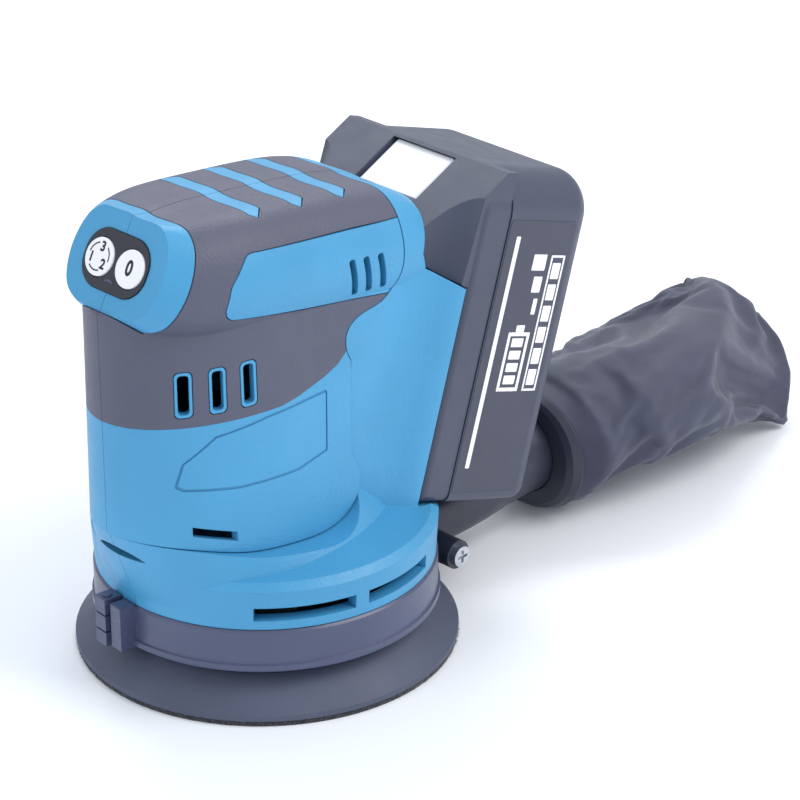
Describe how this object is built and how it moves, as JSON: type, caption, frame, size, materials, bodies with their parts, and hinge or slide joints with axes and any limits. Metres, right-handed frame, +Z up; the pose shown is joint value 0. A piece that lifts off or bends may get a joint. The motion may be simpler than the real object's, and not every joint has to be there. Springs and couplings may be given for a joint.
{
  "type": "cordless dual action polisher",
  "caption": "Cordless palm-grip dual action polisher with a round hook-faced pad, two nose buttons, a slide-on battery pack and a pull-off fabric dust bag.",
  "frame": {"origin": "centre of the pad's hook face, on the surface the pad rests on", "axes": "+Z up along the pad's and spindle's axes, the nose with the buttons towards -Y, the battery and the bag towards +Y, X across the body"},
  "size_m": [0.125, 0.3216, 0.1616],
  "materials": {
    "bag_fabric": "thin coated plain weave",
    "black_plastic": "fine grain, satin",
    "blue_plastic": "fine spark texture, satin",
    "board_green": "solder mask",
    "cast_metal": "die cast",
    "cell_wrap": "shrink sleeve",
    "contact_metal": "plated",
    "copper": "enamelled wire",
    "gloss_black": "smooth, low gloss",
    "grip_rubber": "soft-touch, fine grain",
    "hook_loop": "short hook pile",
    "lamination": "stacked sheet",
    "pad_rubber": "smooth moulded foam skin",
    "steel": "zinc plated",
    "white_plastic": "smooth"
  },
  "bodies": {
    "housing": {"battery_rail": "black_plastic", "board_components": "black_plastic", "clasp_pin": "gloss_black", "controller_board": "board_green", "duct_screws": "steel", "dust_duct": "black_plastic", "front_shell_left": "blue_plastic", "front_shell_right": "blue_plastic", "grip_skin_left": "grip_rubber", "grip_skin_right": "grip_rubber", "housing_screws": "steel", "main_housing_left": "blue_plastic", "main_housing_right": "blue_plastic", "motor_bearing_lower": "steel", "motor_bearing_upper": "steel", "motor_mount": "black_plastic", "nose_bezel_left": "blue_plastic", "nose_bezel_right": "blue_plastic", "pad_brake": "pad_rubber", "skirt_ring": "gloss_black", "stator_core": "lamination", "stator_windings": "copper", "switch_board": "board_green", "switch_plate": "gloss_black", "tact_switches": "black_plastic", "tool_terminals": "contact_metal", "top_bearing_seat": "black_plastic"},
    "spindle": {"motor_shaft": "steel", "rotor_core": "lamination", "cooling_fan": "black_plastic", "eccentric": "cast_metal", "pad_bearing_lower": "steel", "pad_bearing_upper": "steel"},
    "pad": {"arbor": "steel", "pad_plate": "black_plastic", "pad_foam": "pad_rubber", "hook_face": "hook_loop", "pad_bolt": "steel", "pad_washer": "steel"},
    "speed_button": {"speed_button": "white_plastic"},
    "stop_button": {"stop_button": "white_plastic"},
    "battery_release": {"battery_release": "white_plastic"},
    "battery": {"battery_lower_case": "black_plastic", "battery_upper_case": "black_plastic", "battery_cells": "cell_wrap", "cell_holders": "black_plastic", "battery_board": "board_green", "battery_contacts": "contact_metal"},
    "bag": {"bag_collar": "black_plastic", "dust_bag": "bag_fabric"}
  },
  "joints": [
    {"name": "spindle_spin", "type": "hinge", "parent": "housing", "child": "spindle", "pos_m": [0, -0.0014, 0.03], "axis": [0, 0, 1], "continuous": true},
    {"name": "pad_spin", "type": "hinge", "parent": "spindle", "child": "pad", "pos_m": [0, 0, 0.02], "axis": [0, 0, 1], "continuous": true},
    {"name": "speed_button_press", "type": "slide", "parent": "housing", "child": "speed_button", "axis": [0, 0.8829, -0.4695], "range_m": [0, 0.0008], "stiffness_N_per_m": 600},
    {"name": "stop_button_press", "type": "slide", "parent": "housing", "child": "stop_button", "axis": [0, 0.8829, -0.4695], "range_m": [0, 0.0008], "stiffness_N_per_m": 600},
    {"name": "battery_slide", "type": "slide", "parent": "housing", "child": "battery", "axis": [0, 0.3024, 0.9532], "range_m": [0, 0.115]},
    {"name": "battery_release_press", "type": "slide", "parent": "battery", "child": "battery_release", "axis": [0, 0.9532, -0.3024], "range_m": [0, 0.003], "stiffness_N_per_m": 900},
    {"name": "bag_slide", "type": "slide", "parent": "housing", "child": "bag", "axis": [0, 1, 0], "range_m": [0, 0.026]}
  ]
}
